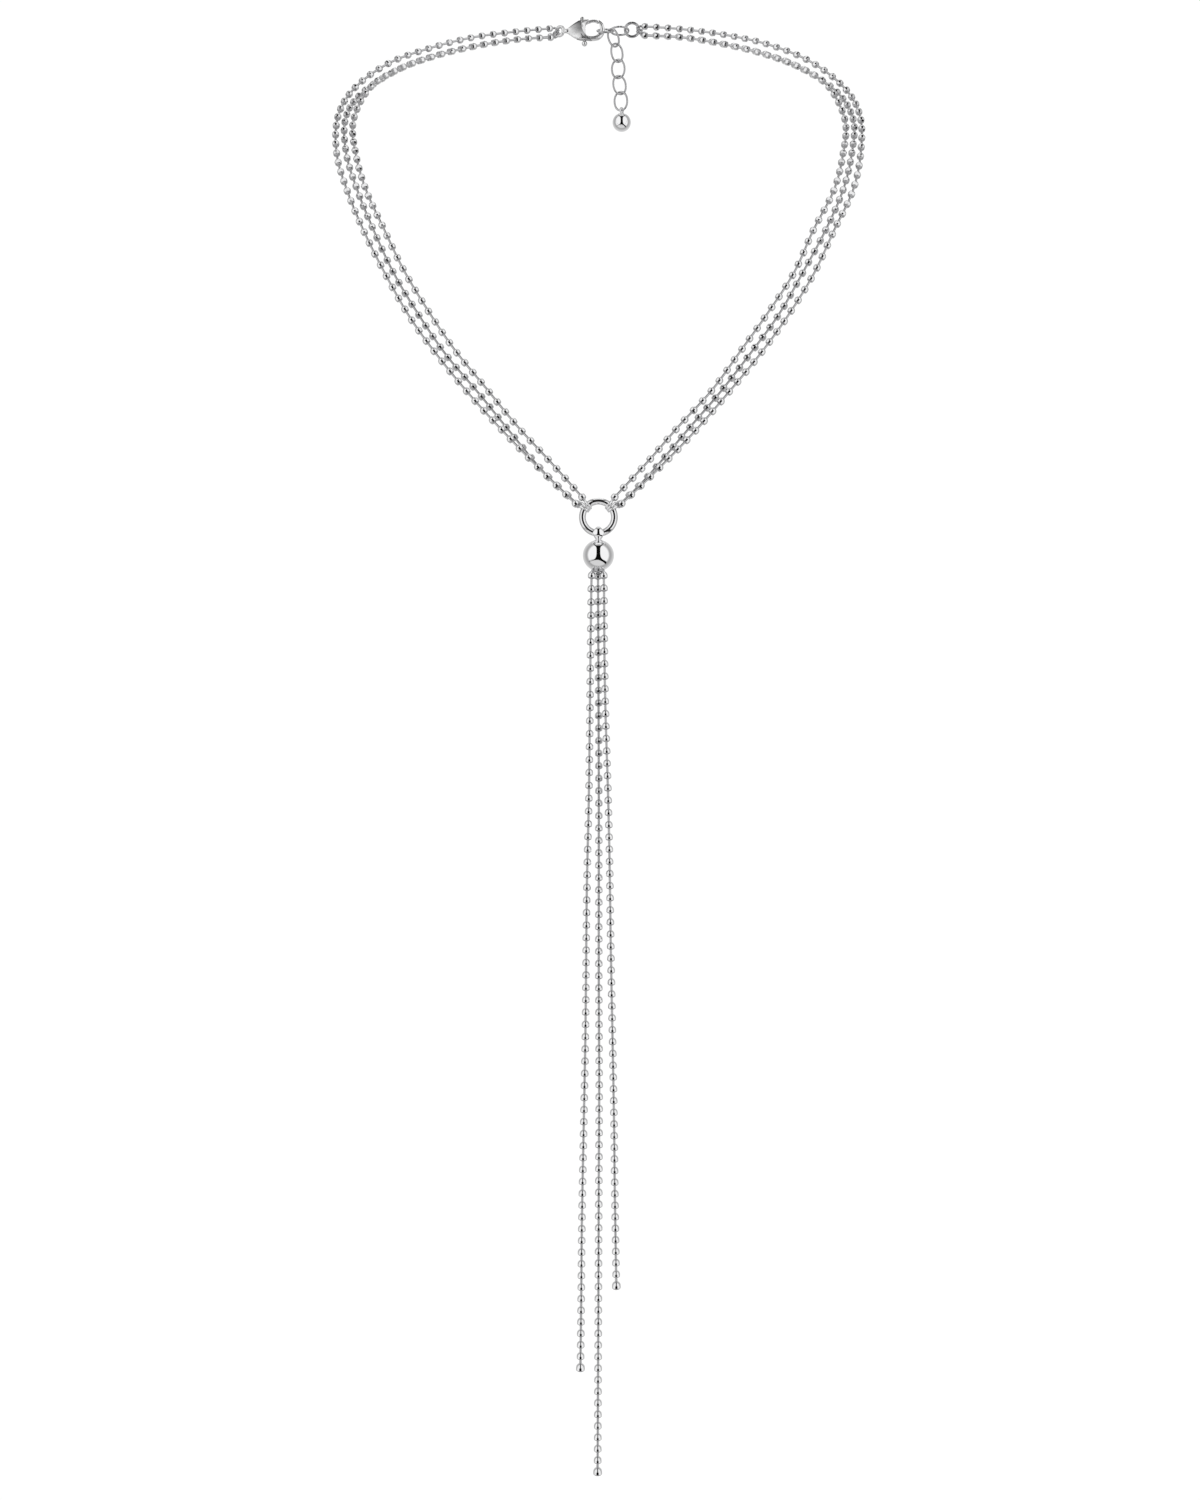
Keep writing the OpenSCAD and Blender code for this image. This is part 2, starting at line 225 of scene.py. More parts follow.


# %% [markdown]
# ## Plating
# The whole necklace is bright plated metal. On the real one nothing is quite a
# mirror: the plating waves a little, handling leaves a faint haze, and the cast
# clasp is a bit softer than the turned balls. A metal is all reflection, so the
# roughness carries the look and the colour hardly changes, except where shade
# is painted: a darker finish on the rods, the beads' undersides and the ball's
# collar, near black in the ring's groove, and dark on the face of the clasp's
# housing. The sums of a material are written as Python sums: a small class
# holds one socket, and an operator on it adds the Math node.


# %% Shader sums
class Shade:
    """A socket of a material's nodes that can stand in a Python sum."""

    def __init__(self, tree, socket):
        self.tree, self.socket = tree, socket

    def make(self, kind, settings=None, inputs=None, out=0):
        """A node of that kind: its settings first, a ramp's stops among them,
        then the values or links of its sockets."""
        node = self.tree.nodes.new(kind)
        for key, value in (settings or {}).items():
            if key == "stops":
                row = node.color_ramp.elements
                while len(row) < len(value):
                    row.new(0.5)
                for stop, (place, level) in zip(row, value):
                    stop.position = place
                    stop.color = (level, level, level, 1)
            else:
                setattr(node, key, value)
        for key, value in (inputs or {}).items():
            if isinstance(value, Shade):
                self.tree.links.new(value.socket, node.inputs[key])
            else:
                node.inputs[key].default_value = value
        return Shade(self.tree, node.outputs[out])

    def sum_of(self, operation, a, b=0.0):
        return self.make("ShaderNodeMath", {"operation": operation}, {0: a, 1: b})

    def __add__(self, other):
        return self.sum_of("ADD", self, other)

    def __radd__(self, other):
        return self.sum_of("ADD", other, self)

    def __sub__(self, other):
        return self.sum_of("SUBTRACT", self, other)

    def __rsub__(self, other):
        return self.sum_of("SUBTRACT", other, self)

    def __mul__(self, other):
        return self.sum_of("MULTIPLY", self, other)

    def __rmul__(self, other):
        return self.sum_of("MULTIPLY", other, self)

    def size(self):
        """The value without its sign."""
        return self.sum_of("ABSOLUTE", self)

    def clamp(self, low, high):
        """The value held between two numbers."""
        return self.sum_of("MINIMUM", self.sum_of("MAXIMUM", self, low), high)

    def below(self, limit, soft):
        """1 where the value is below the limit and 0 above it, changing evenly
        over the soft distance: (limit - value) / soft + 1/2, held from 0 to 1."""
        return ((limit - self) * (1 / soft) + 0.5).clamp(0, 1)

    def ramp(self, stops):
        """The value's place in a table of (position, level) rows."""
        return self.make("ShaderNodeValToRGB", {"stops": stops}, {0: self})


# %% One recipe for every plated finish
BROAD_CLOUD, FINE_CLOUD, CLOUD_GRAIN = 0.006, 0.0011, 0.55


def plating(name, bright, dark_end, rough, haze, wave, wave_size, painted_shading=None):
    """Polished plating. Colour goes from the darker to the bright colour with a
    broad cloud of noise, roughness is rough plus haze times a finer cloud, and
    the surface waves by the given height at the given size, both in metres. An
    optional function of the place paints shade: it takes over nine tenths of the
    choice between the darker and the bright colour."""
    material = bpy.data.materials.new(name)
    material.use_nodes = True
    tree = material.node_tree
    surface = tree.nodes["Principled BSDF"]
    surface.inputs["Metallic"].default_value = 1.0
    place = Shade(tree, tree.nodes.new("ShaderNodeTexCoord").outputs["Object"])

    def cloud(size, detail):
        return place.make(
            "ShaderNodeTexNoise",
            None,
            {
                "Vector": place,
                "Scale": 1 / size,
                "Detail": detail,
                "Roughness": CLOUD_GRAIN,
            },
        )

    broad, fine = cloud(BROAD_CLOUD, 2.0), cloud(FINE_CLOUD, 3.0)
    if painted_shading:
        broad = painted_shading(place) * 0.9 + broad * 0.1
    colour = place.make(
        "ShaderNodeMix",
        {"data_type": "RGBA"},
        {0: broad, 6: (*dark_end, 1), 7: (*bright, 1)},
        out=2,
    )
    roughness = (rough + haze * fine).clamp(0.02, 0.6)
    ripple = cloud(wave_size, 1.0)
    bump = place.make(
        "ShaderNodeBump", None, {"Strength": 1.0, "Distance": wave, "Height": ripple}
    )
    tree.links.new(colour.socket, surface.inputs["Base Color"])
    tree.links.new(roughness.socket, surface.inputs["Roughness"])
    tree.links.new(bump.socket, surface.inputs["Normal"])
    print("finish:", name)
    return material


bead_plating = plating(
    "bead_plating", (0.87, 0.87, 0.875), (0.79, 0.79, 0.8), 0.02, 0.04, 2e-6, 0.0013
)
# Darker than the beads: painted shade on the wire between beads, under each bead and under
# the ball.
painted_shade_plating = plating(
    "painted_shade_plating", (0.62, 0.62, 0.63), (0.5, 0.5, 0.51), 0.05, 0.08, 2e-6, 0.0008
)
ring_plating = plating(
    "ring_plating", (0.92, 0.92, 0.925), (0.86, 0.86, 0.87), 0.1, 0.05, 2e-6, 0.003
)
satin_plating = plating(
    "satin_plating", (0.97, 0.97, 0.975), (0.88, 0.88, 0.89), 0.28, 0.1, 3e-6, 0.0009
)
# Near black: painted shade in the ring's groove.
groove_painted_shade = plating(
    "groove_painted_shade", (0.04, 0.04, 0.04), (0.02, 0.02, 0.02), 0.5, 0.1, 1e-6, 0.0006
)
ball_plating = plating(
    "ball_plating", (0.93, 0.93, 0.935), (0.87, 0.87, 0.88), 0.02, 0.03, 3e-6, 0.004
)
wire_plating = plating(
    "wire_plating", (0.62, 0.62, 0.63), (0.5, 0.5, 0.51), 0.16, 0.1, 5e-6, 0.0012
)


def painted_face_shading(place):
    """Painted shade on the clasp: 1 where it keeps its bright colour, falling to 0
    on the face of its housing towards the window, where the dark colour paints
    the shade: there, in mm, it is ((-x - z - 2.7) / 5.7)^1.5. The face lies
    between x = -9.9 and x = -5.4 + 0.035 (2.6 - z)^2.6, and painted shade makes
    it dark within 0.35 mm of its upper edge, z = 1 + 0.47 (x + 9)."""
    x, z = (
        place.make("ShaderNodeSeparateXYZ", None, {0: place}, out=k) * 1000
        for k in (0, 2)
    )
    depth = ((-2.7 - x - z) * (1 / 5.7)).clamp(0, 1)
    fall = place.sum_of("POWER", depth, 1.5)
    border = place.sum_of("POWER", (2.6 - z).clamp(0, 6), 2.6) * 0.035 - 5.4
    on_face = (x - border).below(0, 0.12) * (0 - x).below(9.9, 0.3)
    upper_edge = (1.0 + 0.47 * (x + 9.0) - z).below(0.35, 0.3)
    return (1 - on_face) + on_face * fall * (1 - upper_edge)


# The clasp's near-black colour is painted shade on the face of its housing and the lever
# there.
cast_plating_painted_shade = plating(
    "cast_plating_painted_shade", (0.93, 0.93, 0.935), (0.05, 0.05, 0.052), 0.26, 0.1, 6e-6, 0.0015,
    painted_shading=painted_face_shading,
)

# %% [markdown]
# ## Ball chain
# A ball chain is a row of hollow beads with a dumbbell of wire from each bead
# to the next. Beads could be placed as hundreds of spheres, but then each one
# needs its own turn. Here the whole chain is one skin: its radius follows a
# bead's profile and the wire's radius between two beads, so the beads turn with
# the line by themselves, and a bead has under a hundred faces. In the
# photograph every bead is white with a small dark field in its lower half, much
# wider than the line on the big ball, so a bead isn't quite a ball: below its
# middle it is cut with twelve flats, and one of them looks at the camera. The
# tassel hangs straight, so its beads have upright flats. The strands lean back
# towards the neck, and their beads have two rows of flats that slope as well.
# The lowest spans of each bead and the wire between beads have a darker finish: painted
# shade under the beads and between them.

# %% Radius and stations of a chain
ROD_R = 0.32
ROD_TIP, ROD_TIP_R = 0.3, 0.8 * ROD_R
BEAD_SIDES = 12
HANGING_BEAD = np.array(
    [  # distance below the bead's middle, radius
        (-0.95, 0.31), (-0.8, 0.6), (-0.55, 0.835), (-0.28, 0.965),
        (-0.02, 1.0), (0.52, 0.98), (0.76, 0.78), (0.95, 0.31),
    ]
)
STRAND_BEAD = np.array(
    [
        (-0.95, 0.31), (-0.8, 0.6), (-0.55, 0.835), (-0.25, 0.97),
        (0.0, 1.0), (0.34, 0.955), (0.7, 0.85), (0.95, 0.31),
    ]
)
BEAD_ROWS, FIRST_FLAT = 8, 4
HANGING_PAINTED_SHADE, STRAND_PAINTED_SHADE = 5, 6  # the first span of each kind of bead with painted shade
v = (np.arange(BEAD_SIDES) + 0.5) * 2 * np.pi / BEAD_SIDES
bead_section = np.stack([np.cos(v), np.sin(v)], 1)


def chain_rows(bead, beads, end, down=1):
    """Distances and radii of the rows: each bead adds the rows of its profile,
    turned over where the line climbs (down is -1). Wire of radius ROD_R comes
    before the first bead and after the last, and narrows to ROD_TIP_R over
    ROD_TIP at the line's two ends."""
    one = bead[::down] * (down, 1)
    s = (np.asarray(beads)[:, None] + one[None, :, 0]).ravel()
    r = np.tile(one[:, 1], len(beads))
    s = np.r_[0, ROD_TIP, s, end - ROD_TIP, end]
    r = np.r_[ROD_TIP_R, ROD_R, r, ROD_R, ROD_TIP_R]
    return s, r


def cut_flats_and_paint_shade(piece, rows, first_painted_shade, down=1):
    """The spans of every bead from FIRST_FLAT up to its first shaded span are flat.
    Its underside and the wire below it get the darker finish, painted shade under
    the bead and between the beads. Two rows come before the first bead, and where
    the line climbs (down is -1) a bead's spans are turned over."""
    span = (np.arange(rows - 1) - 2) % BEAD_ROWS
    if down < 0:
        span = (BEAD_ROWS - 2 - span) % BEAD_ROWS
    # Painted shade: the bead's underside spans, the wire below it and the first span of
    # wire.
    dark_end = (span >= first_painted_shade) | (np.arange(rows - 1) == 0)
    second_finish(piece, np.repeat(dark_end[:, None], BEAD_SIDES, axis=1), painted_shade_plating)
    smooth = np.ones(len(piece.data.polygons), bool)
    flat = (span >= FIRST_FLAT) & (span < first_painted_shade)
    smooth[: len(span) * BEAD_SIDES] = np.repeat(~flat, BEAD_SIDES)
    piece.data.polygons.foreach_set("use_smooth", smooth)


# %% [markdown]
# ## The six strands
# The routes are the ones of the CAD tubes, point for point, so the beads lie
# where the tubes are. At each end the last bit of wire runs on to the small
# loop that holds the chain. The beads are spread evenly, and the first and the
# last one stand END_TO_BEAD inside the tube's ends.

# %% Routes of the strands, from the front ring to the clasp
STRANDS = {
    "left_outer": [
        (-5.7, -75, -143.3), (-15, -72, -134), (-24, -69, -124.5),
        (-32.5, -66.5, -115), (-41, -64, -104.5), (-48.5, -61.5, -94),
        (-55, -59, -82.5), (-61, -56, -70.5), (-66, -51, -58.5),
        (-69.5, -44.5, -47), (-70, -37, -35), (-66.3, -29, -25),
        (-57.8, -22, -16.2), (-47, -15.5, -10), (-36, -9.5, -5.2),
        (-24, -4.5, -1.9), (-13.7, -0.4, 0.4),
    ],
    "left_middle": [
        (-5.2, -72.7, -143.1), (-14, -69.8, -134.6), (-23, -66.9, -123.6),
        (-31, -64.5, -113.5), (-39.3, -62, -103.5), (-46.7, -59.5, -92.5),
        (-53.2, -57, -81.5), (-58.8, -54, -69.5), (-63.5, -49, -58),
        (-67.2, -42.5, -46.5), (-68.2, -35, -35), (-64.8, -25.4, -25.4),
        (-55.4, -17.9, -16.6), (-45.8, -11, -10.7), (-34.6, -5.5, -6.2),
        (-23.6, -1, -3), (-13.4, 2.8, -0.8),
    ],
    "left_inner": [
        (-4.1, -75, -141.7), (-12.5, -71.5, -132), (-21, -68.5, -122.5),
        (-29, -66, -112.5), (-37, -63.5, -102.5), (-44, -61, -92),
        (-50.5, -58.5, -81), (-56, -55.5, -69.5), (-61, -50.5, -58.5),
        (-64.4, -44, -47.5), (-66, -36, -36), (-62.4, -27.5, -24.6),
        (-55, -20.5, -17.3), (-45.5, -13.5, -11.5), (-34.5, -8, -7),
        (-23.5, -3.5, -3.8), (-13.4, 0.9, -1.8),
    ],
    "right_outer": [
        (5, -75, -143.3), (14.5, -72, -134), (23.5, -69, -124.5),
        (32, -66.5, -114.5), (40.5, -64, -104), (48, -61.5, -93.5),
        (55, -59, -82), (60.6, -56, -70), (66, -51, -58.5),
        (68.8, -44.5, -47), (69.5, -37, -35), (66.1, -29, -25),
        (57.5, -22, -15.7), (46.5, -15.5, -9), (35, -9.5, -4.4),
        (23, -4, -1), (12.1, -0.6, 0.9),
    ],
    "right_middle": [
        (4.5, -72.7, -143.1), (9.3, -71.2, -138.5), (14, -69.8, -133.3),
        (22.5, -67, -123), (30.5, -64.5, -113.5), (38.5, -62, -103),
        (46, -59.5, -92.5), (52.5, -57, -81), (58.6, -54, -69.5),
        (63.6, -49, -58), (66.6, -42.5, -47), (68, -34.6, -35.5),
        (64.5, -25.2, -25), (55.2, -17.9, -16.2), (45.2, -11, -10),
        (34.1, -5.5, -5.6), (23.1, -1, -2.3), (11.9, 2.6, -0.4),
    ],
    "right_inner": [
        (3.3, -75, -141.7), (12, -71.5, -132), (20, -68.5, -122.5),
        (28.5, -66, -113), (36, -63.5, -102.5), (43, -61, -92.5),
        (50, -58.5, -81.5), (55.2, -55.5, -70), (61, -50.5, -58.5),
        (64.1, -44, -47.5), (65.6, -36, -36), (62, -27.5, -24.3),
        (55, -20.5, -17), (45, -13.5, -10.9), (34, -8, -6.4),
        (23, -3.5, -3.2), (12.1, 0, -1.5),
    ],
}
BEADS_ON = {
    "left_outer": 63, "left_middle": 62, "left_inner": 62,
    "right_outer": 64, "right_middle": 63, "right_inner": 61,
}
print(sum(BEADS_ON.values()), "beads on", len(STRANDS), "strands")

# %% Where the loops hold the strands
RING_C = np.array([-0.4, -75, -146.3])
RING_R, RING_WIRE_R = 4.0, 0.875
FRONT_LOOP_R, FRONT_TIP = 1.16, 0.4
FRONT_ANGLE = {
    "left_outer": 150, "left_middle": 140, "left_inner": 130,
    "right_outer": 30, "right_middle": 40, "right_inner": 50,
}
EYE_C, EYE_R, EYE_WIRE_R, EYE_TURN = np.array([-11.4, 0, -0.3]), 1.25, 0.5, -36
EYE_LOOP_R = 0.72
JUMP_C, JUMP_R, JUMP_WIRE_R = np.array([9.1, 0, 0.1]), 1.95, 0.4
JUMP_LOOP_R = 0.62
BACK_TIP = 0.25
BACK_ANGLE = {
    "left_outer": 144, "left_middle": 184, "left_inner": 224,
    "right_outer": 22, "right_middle": 0, "right_inner": -22,
}


def around(angle, turn=0.0):
    """The direction at an angle round an upright ring, from +X towards +Z,
    with the ring turned about Z, and the ring's own normal."""
    a, t = math.radians(angle), math.radians(turn)
    out = np.array(
        [math.cos(a) * math.cos(t), math.cos(a) * math.sin(t), math.sin(a)]
    )
    return out, np.array([-math.sin(t), math.cos(t), 0.0])


def back_ring(key):
    """Centre, radius, loop radius and turn of the ring at the strand's back end."""
    if key.startswith("left"):
        return EYE_C, EYE_R, EYE_LOOP_R, EYE_TURN
    return JUMP_C, JUMP_R, JUMP_LOOP_R, 0.0


def front_hold(key):
    """Where the strand's wire meets the tip of its loop on the front ring."""
    out = around(FRONT_ANGLE[key])[0]
    return RING_C + (RING_R + FRONT_LOOP_R + FRONT_TIP) * out


def back_hold(key):
    """Where the strand's wire meets the tip of its loop at the nape."""
    centre, r, loop, turn = back_ring(key)
    out = around(BACK_ANGLE[key], turn)[0]
    return centre + (r + loop + BACK_TIP) * out


# %% The strands
LINE_STEPS = 12
END_TO_BEAD = 0.65

for key, route in STRANDS.items():
    line = smooth_line([front_hold(key), *route, back_hold(key)], LINE_STEPS)
    run = distance_along(line)
    first, last = run[LINE_STEPS] + END_TO_BEAD, run[-1 - LINE_STEPS] - END_TO_BEAD
    beads = np.linspace(first, last, BEADS_ON[key])
    s, r = chain_rows(STRAND_BEAD, beads, run[-1], down=-1)
    grid = tube_grid(places_at(line, s), r, section=bead_section)
    piece = skin(
        key + "_bead_chain", [grid], key + "_strand", "necklace", bead_plating
    )
    cut_flats_and_paint_shade(piece, len(grid), STRAND_PAINTED_SHADE, down=-1)
    print(f"  {run[-1]:.0f} mm long, a bead every {beads[1] - beads[0]:.2f} mm")

# %% [markdown]
# ## The tassel
# Three more ball chains come out of the ball's mouth and hang free. On the real
# necklace the beads sit a little closer towards the free ends, so the distance
# from bead to bead goes evenly from the top value to the bottom one. The last
# bead is a little bigger than the rest. A chain starts inside the ball,
# INSIDE_DEPTH below its centre and only INSIDE_SHARE as far from its middle
# line as where it leaves the mouth.

# %% The tassel's chains
BALL_C = np.array([-0.4, -75, -155.85])
BALL_R, MOUTH_R, MOUTH_RIM_R = 3.9, 1.25, 1.55
FALLS = {
    "left": [
        (-2.0, -75.7, -159.7), (-2.3, -75.7, -174), (-2.5, -75.6, -192),
        (-2.8, -75.5, -217), (-3.3, -75.4, -240), (-3.6, -75.3, -272),
        (-4.0, -75.2, -295), (-4.5, -75.1, -321), (-4.7, -75, -342),
        (-4.9, -75, -360),
    ],
    "centre": [
        (-0.5, -73.6, -159.7), (-0.4, -73.7, -184), (-0.3, -73.9, -210),
        (-0.3, -74.1, -236), (-0.3, -74.3, -262), (-0.2, -74.5, -288),
        (-0.3, -74.7, -314), (-0.4, -74.8, -340), (-0.5, -74.9, -364),
        (-0.6, -75, -386),
    ],
    "right": [
        (0.9, -75.7, -159.7), (1.1, -75.7, -180), (1.4, -75.6, -196),
        (2.0, -75.5, -215), (2.4, -75.4, -233), (2.7, -75.3, -254),
        (3.1, -75.2, -275), (3.5, -75.1, -297), (3.7, -75, -315),
        (4.1, -75, -339.5),
    ],
}
BEADS_IN = {"left": 65, "centre": 75, "right": 60}
END_PITCH = 2.85
END_BEAD_R = 1.13
INSIDE_DEPTH, INSIDE_SHARE = 2.6, 0.35
MOUTH_TO_BEAD = 1.2


def closing_beads(count, first, last):
    """Distances whose steps change evenly: with x from 0 to 1 the distance is
    first + (top x + (end - top) x^2 / 2) steps, where top is the first pitch."""
    steps = count - 1
    top = 2 * (last - first) / steps - END_PITCH
    x = np.arange(count) / steps
    return first + steps * (top * x + (END_PITCH - top) * x**2 / 2), top


for key, route in FALLS.items():
    sideways = (np.array(route[0]) - BALL_C) * (1, 1, 0)
    inside = BALL_C + (0, 0, -INSIDE_DEPTH) + INSIDE_SHARE * sideways
    line = smooth_line([inside, *route], LINE_STEPS)
    run = distance_along(line)
    first, last = run[LINE_STEPS] + MOUTH_TO_BEAD, run[-1] - END_BEAD_R
    beads, top = closing_beads(BEADS_IN[key], first, last)
    s, r = chain_rows(HANGING_BEAD, beads[:-1], run[-1])
    s = np.r_[s[:-2], beads[-1] + END_BEAD_R * HANGING_BEAD[:, 0]]
    r = np.r_[r[:-2], END_BEAD_R * HANGING_BEAD[:, 1]]
    grid = tube_grid(places_at(line, s), r, section=bead_section)
    piece = skin(
        key + "_tassel_chain", [grid], key + "_tassel", "drop", bead_plating
    )
    cut_flats_and_paint_shade(piece, len(grid), HANGING_PAINTED_SHADE)
    print(f"  a bead every {top:.2f} mm at the top and {END_PITCH} mm at the end")

# %% [markdown]
# ## Loops that hold the chains
# Each chain ends in a small loop of flat wire, closed round the ring. Seen from
# the front the three loops of a side lie so close that they look like one soft
# pad inside the ring. A loop isn't a perfect circle: it is drawn out to a tip
# where the chain pulls on it. The front loops are rubbed to satin, and the ones
# at the nape have the links' finish.


# %% Drawn-out loops
FRONT_BAND, END_BAND = (0.42, 0.6), (0.3, 0.34)  # thickness and width


def loop_grid(centre, ring_r, angle, turn, loop_r, tip, thick, flat):
    """A closed band round the ring's wire: distance from the wire's middle is
    loop_r + tip max(0, cos u)^4, with u from the outward direction towards the
    ring's normal."""
    out, normal = around(angle, turn)
    u = np.linspace(0, 2 * np.pi, 40, endpoint=False)
    d = loop_r + tip * np.maximum(0, np.cos(u)) ** 4
    middle = centre + ring_r * out
    line = middle + d[:, None] * (
        np.cos(u)[:, None] * out + np.sin(u)[:, None] * normal
    )
    side = np.cross(out, normal)
    return tube_grid(line, flat / 2, thick / 2, up=side, ring=True), True


for key in STRANDS:
    angle = FRONT_ANGLE[key]
    skin(
        key + "_front_band",
        [loop_grid(RING_C, RING_R, angle, 0, FRONT_LOOP_R, FRONT_TIP, *FRONT_BAND)],
        key + "_front_loop",
        "necklace",
        satin_plating,
    )
    centre, r, loop, turn = back_ring(key)
    skin(
        key + "_end_band",
        [loop_grid(centre, r, BACK_ANGLE[key], turn, loop, BACK_TIP, *END_BAND)],
        key + "_end_loop",
        "necklace",
        wire_plating,
    )

# %% [markdown]
# ## The front ring
# A ring of thick wire, soldered shut and polished. In the photograph an even,
# thin dark line runs all round its front, at the sides and at the top alike,
# which a round wire wouldn't show: it is a fine groove along a ridge. So the
# ring is one section carried round a circle, round at the back, with two
# soft flanks and a groove in front. The groove's faces have a near-black
# finish of their own: painted shade in the groove.

# %% A ridged ring with a groove
def ring_line(centre, r, rows, turn=0.0, start=0.0, sweep=360.0):
    """Places on an upright circle, place = centre + r (cos u, 0, sin u), turned
    about Z. The angle u goes from start over the sweep, in degrees."""
    u = np.radians(start + np.linspace(0, sweep, rows, endpoint=sweep < 360))
    t = math.radians(turn)
    flat = np.stack(
        [np.cos(u) * math.cos(t), np.cos(u) * math.sin(t), np.sin(u)], axis=1
    )
    return np.array(centre) + r * flat


GROOVE = 0.22


def ridged_section(r, bend=1.5, half=15):
    """Places round the wire: the front is r (1 - (x/r)^bend)^(1/bend) high with
    a groove half as deep as its half width, the back is a half circle."""
    x = -r * np.cos(np.linspace(0, np.pi, 2 * half))
    x = np.sort(np.r_[x[np.abs(x) > 1.2 * GROOVE], -GROOVE, 0, GROOVE])
    flank = r * (1 - (np.maximum(np.abs(x), GROOVE) / r) ** bend) ** (1 / bend)
    front = flank - 0.5 * np.maximum(GROOVE - np.abs(x), 0)
    v = np.linspace(0, np.pi, 16)[1:-1]
    return np.vstack(
        [np.stack([-front, x], 1), r * np.stack([np.sin(v), np.cos(v)], 1)]
    )


ring_section = ridged_section(RING_WIRE_R)
ring_grid = tube_grid(
    ring_line(RING_C, RING_R, rows=144), 1, ring=True, section=ring_section
)
ring_piece = skin(
    "front_ring_wire", [(ring_grid, True)], "front_ring", "necklace", ring_plating
)
in_groove = np.abs(ring_section[:, 1] + np.roll(ring_section[:, 1], -1)) < 1.01 * GROOVE
in_groove &= ring_section[:, 0] < 0
second_finish(ring_piece, np.tile(in_groove, (len(ring_grid), 1)), groove_painted_shade)
print(in_groove.sum(), "faces wide is the groove")

# %% [markdown]
# ## The bail
# The drop hangs on a folded strip of metal, a bail: narrow at its top, widest
# beside the ring's wire, and narrow again where its two legs meet over the
# ball. Its outer face is domed, and its edges keep clear of the ring when the
# drop swings up. A short neck and a rolled collar join it to the ball.

# %% Bail, neck and collar
# Both are measured from FOOT, the middle of the ring's wire at its lowest point.
FOOT = RING_C - np.array([0, 0, RING_R])
BAIL_MID_R = 1.4
u = np.linspace(0, 2 * np.pi, 64, endpoint=False)
height = BAIL_MID_R * np.sin(u)
half_width = np.interp(
    height,
    [-1.4, -1.0, -0.4, 0.17, 0.8, 1.12, 1.4],
    [0.84, 1.04, 1.3, 1.4, 1.12, 0.85, 0.6],
)
# The strip's own section is flat inside and domed outside, and bends in
# towards its edges: r = r0 + 0.06 + 0.1 sin v + 0.2 max(sin v, 0)^2 - 0.1 x^2.
v = np.linspace(0, 2 * np.pi, 24, endpoint=False)
face = 0.1 * np.sin(v) + 0.2 * np.maximum(np.sin(v), 0) ** 2
x = half_width[:, None] * np.cos(v)[None]
r = BAIL_MID_R + 0.06 + face[None] - 0.1 * x**2
strip = FOOT + np.stack(
    [x, r * np.cos(u)[:, None] * -1, r * np.sin(u)[:, None]], axis=-1
)
neck = turned_grid(
    [
        (0.001, -1.35), (0.55, -1.4), (0.66, -1.5), (0.7, -1.58),
        (0.78, -1.63), (0.98, -1.66), (1.1, -1.76), (1.06, -1.9),
        (0.9, -1.98), (0.6, -2.0), (0.6, -3.1), (0.001, -3.1),
    ],
    FOOT,
    40,
)
skin(
    "bail_strip",
    [(strip, True), neck],
    "drop_bail",
    "drop",
    ball_plating,
)

# %% [markdown]
# ## The ball
# A hollow ball is spun from sheet: the sphere turns in at the top round the
# neck, and at the bottom a collar of two rolls stands round the mouth that the
# tassel comes out of. A turned profile gives all of it: first the sphere, then
# the collar's rolls, then the wall inside the mouth.

# %% The ball as a turned profile
BALL_SIDES, TOP_HOLE_R = 72, 0.75
top_lat = math.degrees(math.acos(TOP_HOLE_R / BALL_R))
low_lat = -math.degrees(math.acos(MOUTH_RIM_R / BALL_R))
lat = np.radians(np.linspace(top_lat, low_lat, 60))
outside = np.stack([BALL_R * np.cos(lat), BALL_R * np.sin(lat)], 1)
rim_z = BALL_R * np.sin(lat[-1])
ROLL_R, ROLLS = 0.13, 2
w = np.linspace(-1, 1, 9) * 0.45 * np.pi
roll = np.stack([MOUTH_RIM_R + ROLL_R * (np.cos(w) - 0.5), -ROLL_R * np.sin(w)], 1)
rim = np.vstack([roll + (0, rim_z - ROLL_R * (1 + 2 * k)) for k in range(ROLLS)])
low_z = rim[-1, 1]
top_wall = [(0.65, 2.0), (0.65, 3.78), (0.69, 3.84)]
profile = np.vstack(
    [
        top_wall,
        outside,
        rim,
        [(MOUTH_R + 0.08, low_z - 0.04), (MOUTH_R, low_z + 0.05)],
        [(MOUTH_R, rim_z + 2.2), (0.3, rim_z + 2.5)],
    ]
)
ball_grid = turned_grid(profile, BALL_C, BALL_SIDES)
ball_piece = skin(
    "drop_ball_shell", [ball_grid], "drop_ball", "drop", ball_plating
)
# The collar's rolls get the rods' darker finish: painted shade under the ball.
on_collar = np.zeros((len(profile) - 1, BALL_SIDES), bool)
rim_row = len(top_wall) + len(outside)
on_collar[rim_row - 1 : rim_row - 1 + len(rim)] = True
second_finish(ball_piece, on_collar, painted_shade_plating)

# %% [markdown]
# ## The lobster clasp
# The cast body is one egg-shaped piece: a pointed, domed housing that runs on
# as a thick hook round a D-shaped window. The lever turns on a rivet inside the
# housing: one end is the gate that closes the window at the top, the other is
# the thumb knob below. A body like this could be cut from a block, but then its
# soft faces would have to be sculpted. Here it is a band that goes round the
# window: at each station it reaches from the window's edge to the outline, and
# its front rises along a bevel to a crest and falls away from it. A front and a
# back half leave the slit for the lever between them.

